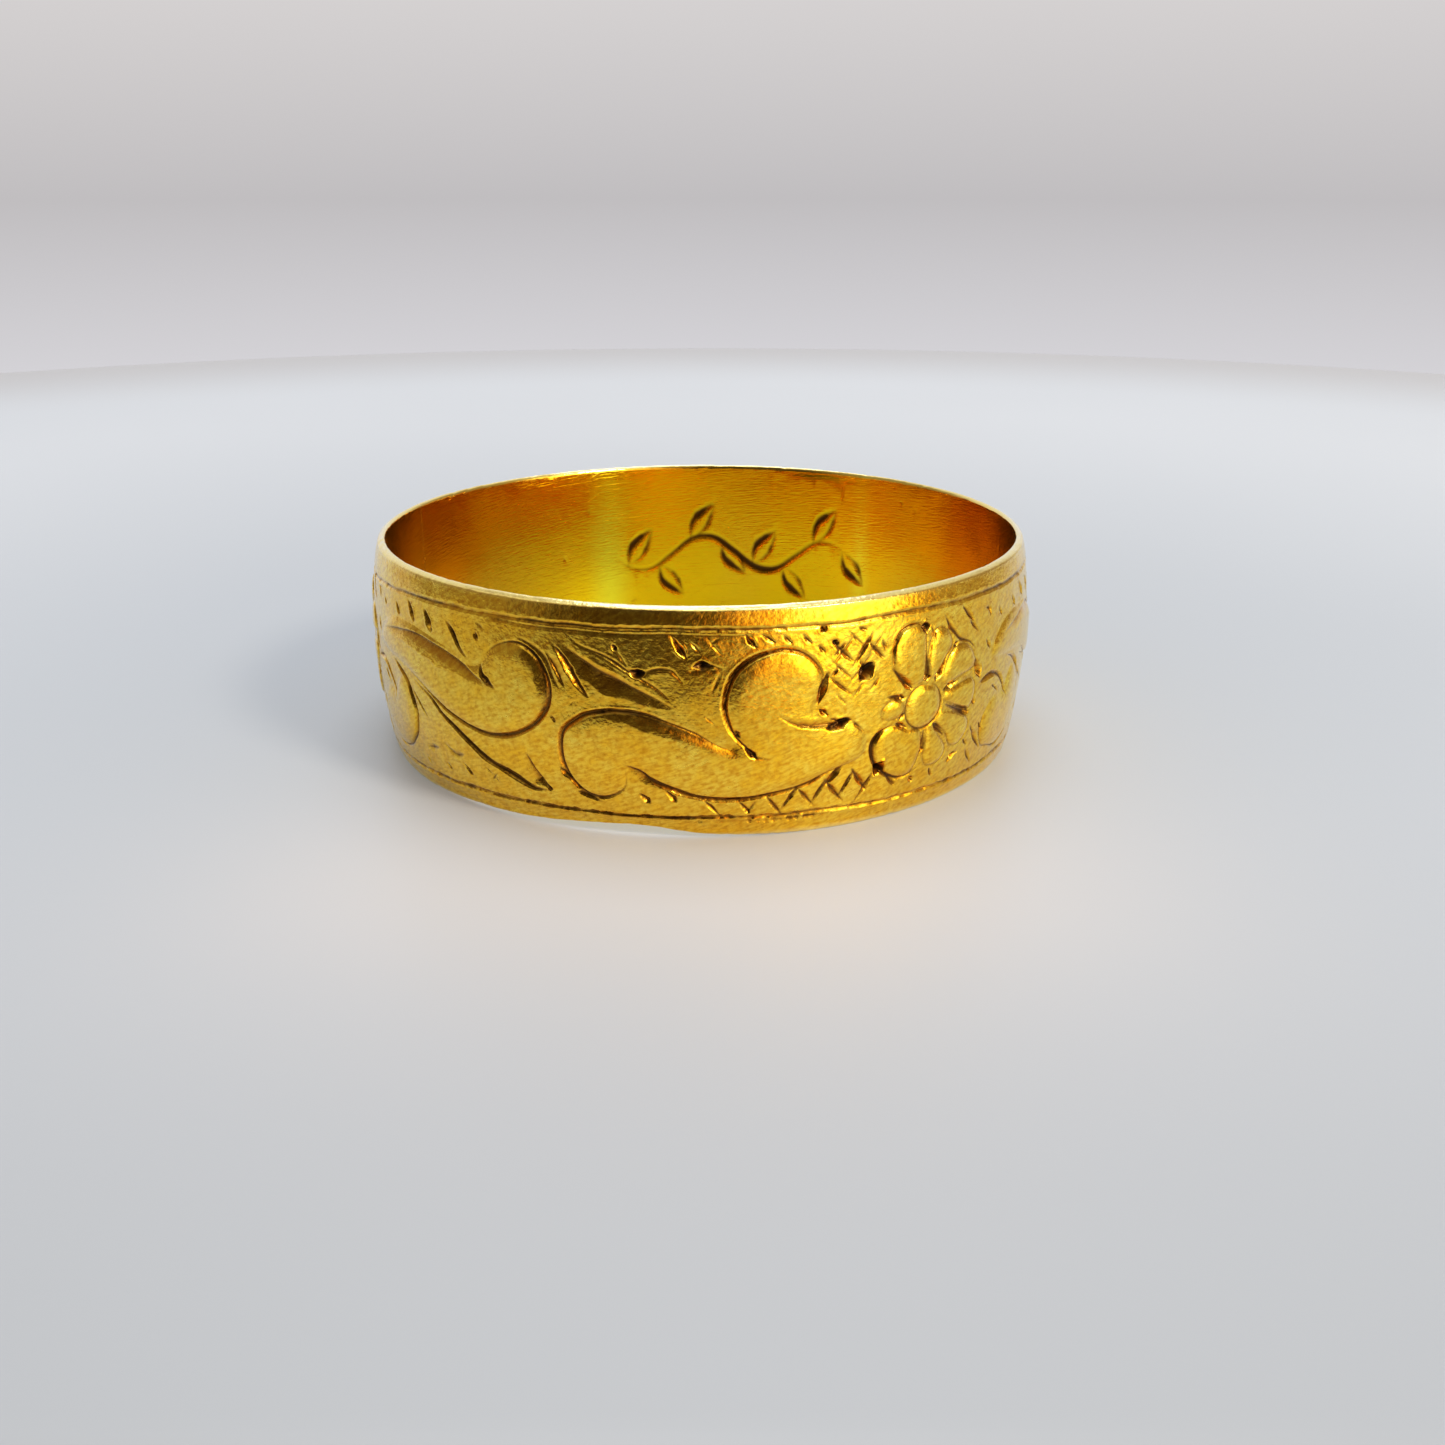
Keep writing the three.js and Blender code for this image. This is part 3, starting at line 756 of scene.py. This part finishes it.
def gold(name, plain, worn, ground, painted_recess_shade, painted_crest_highlight, painted_bore_tone, polish):
    """Satin gold: a plain colour clouded with a worn one, browned in the cuts with painted shade and
    nearly black at their bottoms with old polish and painted shade, with the grain and hair
    scratches of wear. The bore and the crests of the edges are smoothed by rubbing. The crests carry
    a pale painted highlight; the bore has a yellower tone of painted light from the bounces inside
    the ring, orange painted reflection at two sides and two bright painted reflections across it.
    polish is the face's roughness."""
    material = bpy.data.materials.new(name)
    material.use_nodes = True
    tree = material.node_tree
    tree.nodes.clear()
    gilt = Wire(tree)
    place = gilt.node("ShaderNodeTexCoord", {}, {}, output="Object")
    lay = gilt.node("ShaderNodeUVMap", {"uv_map": "lay"}, {})

    def marked(attribute):
        return gilt.node("ShaderNodeAttribute", {"attribute_name": attribute}, {}, output="Fac")

    def clouds(scale, detail, vector=place):
        return gilt.node("ShaderNodeTexNoise", {}, {"Vector": vector, "Scale": scale, "Detail": detail})

    def stripe(along, middle, reach):
        """1 at the middle of a stripe across the strip, falling softly to 0 at its reach."""
        away = gilt.maths("ABSOLUTE", along - middle)
        fall = {"Value": away, "From Min": reach, "From Max": 0.0}
        return gilt.node("ShaderNodeMapRange", {"interpolation_type": "SMOOTHSTEP"}, fall)

    def drawn(along, across, turn):
        """Noise drawn out into strokes: so many to the mm along and across them, at that turn."""
        turned = gilt.node("ShaderNodeMapping", {}, {"Vector": lay, "Rotation": (0.0, 0.0, turn)})
        scale = (along, across, 1.0)
        return clouds(1.0, 1.5, gilt.node("ShaderNodeMapping", {}, {"Vector": turned, "Scale": scale}))

    cut_depth, grime, crest = marked("cut"), marked("grime"), marked("crest")
    bore, ruddy = marked("bore"), marked("ruddy")
    from_seam = gilt.node("ShaderNodeSeparateXYZ", {}, {0: lay}, output="X")
    # Two painted reflections: bright stripes across the bore where reflected light falls.
    bright = stripe(from_seam, 51.3, 1.1) + stripe(from_seam, 41.6, 0.6) * 0.8
    soft_clouds = clouds(700.0, 3.0)
    speckle = clouds(3200.0, 3.0)
    grain = clouds(9000.0, 3.0)
    mottle = (drawn(3.5, 12.0, -0.4) * 3.4 - 1.2).clamped()
    satin = drawn(2.5, 16.0, 0.1)
    hairs = drawn(0.5, 26.0, 0.55)
    cross_hairs = drawn(0.6, 24.0, -0.9)
    long_hairs = drawn(0.35, 30.0, 0.05)
    scored = (hairs * 5.0 - 3.1).clamped() + (cross_hairs * 5.0 - 3.1).clamped()
    scored = scored + (long_hairs * 5.0 - 3.0).clamped()
    # Painted shade: the cuts are browned by how deep they lie.
    recess_shade_mask = (cut_depth * 22.0).clamped()
    # Old polish with painted shade darkens the bottom of the cuts nearly to black.
    black = (grime * (cut_depth * 30.0).clamped()).clamped()
    patchy = (soft_clouds * 1.6 + speckle * 1.6 - 1.1).clamped()
    rough_ground = ((1.0 - mottle) * 0.55 + (grain * 4.0 - 1.8).clamped() * 0.45 - 0.1).clamped()
    face = rough_ground.blend(patchy.blend(plain, worn), ground)
    # Painted reflection: the orange laid on two sides of the bore.
    painted_orange_tone = (0.86, 0.41, 0.02, 1.0)
    # Painted reflection: the pale yellow of the two bright stripes in the bore.
    painted_streak_tone = (1.0, 0.9, 0.06, 1.0)
    # Old polish with painted shade, for the bottoms of the cuts.
    old_polish_and_shade = (0.04, 0.016, 0.003, 1.0)
    # The bore's yellower tone is painted light from the bounces inside the ring, with the painted orange and
    # painted stripes laid on it.
    painted_bore_light = bright.blend(ruddy.blend(painted_bore_tone, painted_orange_tone), painted_streak_tone)
    # The crests carry a pale painted highlight over the face and bore colours.
    face_with_painted_light = crest.blend(bore.blend(face, painted_bore_light), painted_crest_highlight)
    shaded = (recess_shade_mask * 0.5).blend(face_with_painted_light, painted_recess_shade)
    colour = (black * 0.93).blend(shaded, old_polish_and_shade)
    roughness = polish + patchy * 0.06 + black * 0.15 + mottle * 0.05
    roughness = roughness - bore * 0.06 - crest * 0.06
    scratched = satin * (bore * 0.5 + 0.8)
    height = scratched + (speckle * 2.4 + grain * 3.0) * (1.0 - bore * 0.85) - scored * 0.35
    normal = gilt.node("ShaderNodeBump", {}, {"Height": height, "Distance": 0.004 * MM, "Strength": 1.0})
    look = {"Base Color": colour, "Metallic": 1.0, "Roughness": roughness, "Normal": normal}
    look.update({"Coat Weight": 1.0 - bore * 0.9, "Coat IOR": 1.3, "Coat Roughness": 0.25})
    surface = gilt.node("ShaderNodeBsdfPrincipled", {}, look)
    gilt.node("ShaderNodeOutputMaterial", {}, {"Surface": surface}, output=None)
    return material


band.data.materials.append(
    gold(
        "satin_gold",
        plain=(1.0, 0.62, 0.04, 1.0),
        worn=(1.0, 0.76, 0.13, 1.0),
        ground=(0.68, 0.36, 0.014, 1.0),
        # The recess, crest and bore colours below are painted shade and painted light.
        painted_recess_shade=(0.56, 0.22, 0.008, 1.0),
        painted_crest_highlight=(1.0, 0.84, 0.42, 1.0),
        painted_bore_tone=(1.0, 0.72, 0.012, 1.0),
        polish=0.175,
    )
)
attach(band, "root")
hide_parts("band_strip")

# ---------------------------------------------------------------------------------------------
# The solder seam. A sliver of paler gold solder, melted into the joint where the strip's two ends
# meet, and filed flush, so that it shows only as a faint line across the band.
seam = flat_grid("solder_seam_flush", 3, len(outline) - 1)
bend_round(seam, SEAM - SOLDER / 2, SOLDER, outline, facing)
close_strip(seam)
bpy.ops.object.shade_smooth_by_angle(angle=math.radians(60))
record_cuts(seam)
seam.data.materials.append(
    gold(
        "gold_solder",
        plain=(0.84, 0.58, 0.12, 1.0),
        worn=(0.88, 0.66, 0.2, 1.0),
        ground=(0.6, 0.38, 0.06, 1.0),
        # The recess, crest and bore colours below are painted shade and painted light.
        painted_recess_shade=(0.42, 0.22, 0.05, 1.0),
        painted_crest_highlight=(1.0, 0.84, 0.46, 1.0),
        painted_bore_tone=(0.93, 0.7, 0.1, 1.0),
        polish=0.24,
    )
)
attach(seam, "root")
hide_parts("solder_seam")

# ---------------------------------------------------------------------------------------------
# The table top. A round sheet of white acrylic with a faint painted glow, which lifts the shadows on
# it, and painted shade that darkens it near the band, towards the front and at its rim. It is cut
# straight just under the lens, so the dark front of the room shows in the band's upper half.
TABLE_RADIUS = 104 * MM
TABLE_THICK = 3 * MM
TABLE_FRONT = -29 * MM
bpy.ops.object.select_all(action="DESELECT")
bpy.ops.mesh.primitive_cylinder_add(
    vertices=256, radius=TABLE_RADIUS, depth=TABLE_THICK, location=(0, 0, -TABLE_THICK / 2)
)
table = bpy.context.active_object
table.name = "table_top"
bpy.ops.object.transform_apply(location=True)
bpy.ops.object.mode_set(mode="EDIT")
bpy.ops.mesh.select_all(action="SELECT")
bpy.ops.mesh.bisect(plane_co=(0, TABLE_FRONT, 0), plane_no=(0, 1, 0), use_fill=True, clear_inner=True)
bpy.ops.mesh.select_all(action="SELECT")
bpy.ops.mesh.normals_make_consistent(inside=False)
bpy.ops.object.mode_set(mode="OBJECT")
rounded = table.modifiers.new("rounded", "BEVEL")
rounded.width = 1 * MM
rounded.segments = 5
bpy.ops.object.modifier_apply(modifier="rounded")
bpy.ops.object.shade_smooth_by_angle(angle=math.radians(40))
acrylic_material = bpy.data.materials.new("white_acrylic")
acrylic_material.use_nodes = True
acrylic_material.node_tree.nodes.clear()
acrylic = Wire(acrylic_material.node_tree)
table_place = acrylic.node("ShaderNodeTexCoord", {}, {}, output="Object")
from_middle = acrylic.node("ShaderNodeVectorMath", {"operation": "LENGTH"}, {0: table_place}, output="Value")
# Painted shade: the sheet darkens towards its rim.
outward = {"Value": from_middle, "From Min": 76 * MM, "From Max": TABLE_RADIUS}
edge_shade = acrylic.node("ShaderNodeMapRange", {"interpolation_type": "SMOOTHSTEP"}, outward)
cloudy = acrylic.node("ShaderNodeTexNoise", {}, {"Vector": table_place, "Scale": 18.0, "Detail": 2.0})
# Painted shade: the sheet is darker near the band and lighter further out.
inward = {"Value": from_middle, "From Min": 12 * MM, "From Max": 66 * MM}
glow = acrylic.node("ShaderNodeMapRange", {"interpolation_type": "SMOOTHSTEP"}, inward)
near_tone, far_tone = (0.435, 0.475, 0.53, 1.0), (0.68, 0.715, 0.77, 1.0)
tone = (cloudy * 0.4 + glow * 0.7).clamped().blend(near_tone, far_tone)
# Painted shadow: the sheet is darker towards the front.
how_far_back = acrylic.node("ShaderNodeSeparateXYZ", {}, {0: table_place}, output="Y")
backward = {"Value": how_far_back, "From Min": -32 * MM, "From Max": -6 * MM}
front_shade = acrylic.node("ShaderNodeMapRange", {"interpolation_type": "SMOOTHSTEP"}, backward)
tone = front_shade.blend((0.43, 0.455, 0.49, 1.0), tone)
shaded_tone = edge_shade.blend(tone, (0.5, 0.495, 0.51, 1.0))
# Painted light: the sheet glows faintly, which lifts the shadows on it, greyer and warmer at the rim.
table_look = {"Base Color": shaded_tone, "Roughness": 0.45, "Emission Strength": 0.12}
table_look["Emission Color"] = edge_shade.blend((0.97, 1.0, 1.05, 1.0), (0.9, 0.88, 0.9, 1.0))
table_surface = acrylic.node("ShaderNodeBsdfPrincipled", {}, table_look)
acrylic.node("ShaderNodeOutputMaterial", {}, {"Surface": table_surface}, output=None)
table.data.materials.append(acrylic_material)


# The light. A white room all round, darker and browner towards the front where the maker stands,
# with a broad bright window at the right. A ceiling lamp and a smaller one by the window add to it.
def soft_lamp(name, turn, rise, distance, size, power, colour):
    """A square lamp aimed at the band, turn degrees round to the right of the front and rise up."""
    turn, rise = math.radians(turn), math.radians(rise)
    data = bpy.data.lights.new(name, "AREA")
    data.size = size
    data.energy = power
    data.color = colour
    lamp = bpy.data.objects.new(name, data)
    flat = distance * math.cos(rise)
    lamp.location = (flat * math.sin(turn), -flat * math.cos(turn), distance * math.sin(rise))
    lamp.rotation_euler = (math.pi / 2 - rise, 0.0, turn)
    bpy.context.scene.collection.objects.link(lamp)


soft_lamp("ceiling_lamp", turn=180, rise=75, distance=0.4, size=0.25, power=0.45, colour=(1.0, 1.0, 1.0))
soft_lamp("window_lamp", turn=48, rise=38, distance=0.25, size=0.05, power=0.22, colour=(1.0, 0.9, 0.75))

# The warm light that the gold throws down on the table in front of it, as a lamp that isn't seen.
glow_data = bpy.data.lights.new("gold_glow", "AREA")
glow_data.shape = "RECTANGLE"
glow_data.size = 20 * MM
glow_data.size_y = 6 * MM
glow_data.energy = 0.0003
glow_data.color = (1.0, 0.6, 0.3)
gold_glow = bpy.data.objects.new("gold_glow", glow_data)
gold_glow.location = (0.0, -12 * MM, 6 * MM)
gold_glow.visible_glossy = False
gold_glow.visible_camera = False
bpy.context.scene.collection.objects.link(gold_glow)

world = bpy.data.worlds.new("white_room")
world.use_nodes = True
world.node_tree.nodes.clear()
bpy.context.scene.world = world
room = Wire(world.node_tree)
toward = room.node("ShaderNodeTexCoord", {}, {}, output="Generated")


def patch(turn, rise, inner, outer):
    """1 within inner degrees of the way given, as for a lamp, and 0 beyond outer degrees."""
    turn, rise = math.radians(turn), math.radians(rise)
    way = (math.sin(turn) * math.cos(rise), -math.cos(turn) * math.cos(rise), math.sin(rise))
    product = {"operation": "DOT_PRODUCT"}
    closeness = room.node("ShaderNodeVectorMath", product, {0: toward, 1: way}, output="Value")
    edge, core = math.cos(math.radians(outer)), math.cos(math.radians(inner))
    fade = {"Value": closeness, "From Min": edge, "From Max": core}
    return room.node("ShaderNodeMapRange", {"interpolation_type": "SMOOTHSTEP"}, fade)


white = (0.8, 0.8, 0.81, 1.0)
walls = patch(turn=-66, rise=5, inner=36, outer=74).blend(white, (0.34, 0.3, 0.24, 1.0))
walls = patch(turn=100, rise=5, inner=20, outer=55).blend(walls, (0.38, 0.32, 0.24, 1.0))
walls = patch(turn=-14, rise=14, inner=24, outer=54).blend(walls, (0.095, 0.078, 0.04, 1.0))
walls = patch(turn=44, rise=8, inner=14, outer=40).blend(walls, (1.3, 0.75, 0.3, 1.0))
walls = patch(turn=51, rise=8, inner=7, outer=25).blend(walls, (3.1, 2.4, 1.3, 1.0))
paths = room.tree.nodes.new("ShaderNodeLightPath")
walls = Wire(room.tree, paths.outputs["Is Diffuse Ray"]).blend(walls, (0.4, 0.405, 0.42, 1.0))
upward = room.node("ShaderNodeSeparateXYZ", {}, {0: toward}, output="Z")
climb = room.node("ShaderNodeMapRange", {}, {"Value": upward, "From Min": -0.13, "From Max": 0.2})
stops = [
    (0.0, (0.67, 0.66, 0.69, 1.0)),
    (0.35, (0.53, 0.515, 0.525, 1.0)),
    (1.0, (0.76, 0.73, 0.72, 1.0)),
]
backdrop = room.node("ShaderNodeValToRGB", {"stops": stops}, {"Fac": climb})
seen = Wire(room.tree, paths.outputs["Is Camera Ray"]).blend(walls, backdrop)
light = room.node("ShaderNodeBackground", {}, {"Color": seen, "Strength": 1.0})
room.node("ShaderNodeOutputWorld", {}, {"Surface": light}, output=None)

# The picture is developed with a little more contrast in the shadows, as a print of gold needs.
development = bpy.context.scene.view_settings
development.view_transform = "Standard"
development.use_curve_mapping = True
curve = development.curve_mapping.curves[3]
for tone_in, tone_out in [(0.06, 0.032), (0.25, 0.21), (0.62, 0.63)]:
    curve.points.new(tone_in, tone_out)
development.curve_mapping.update()
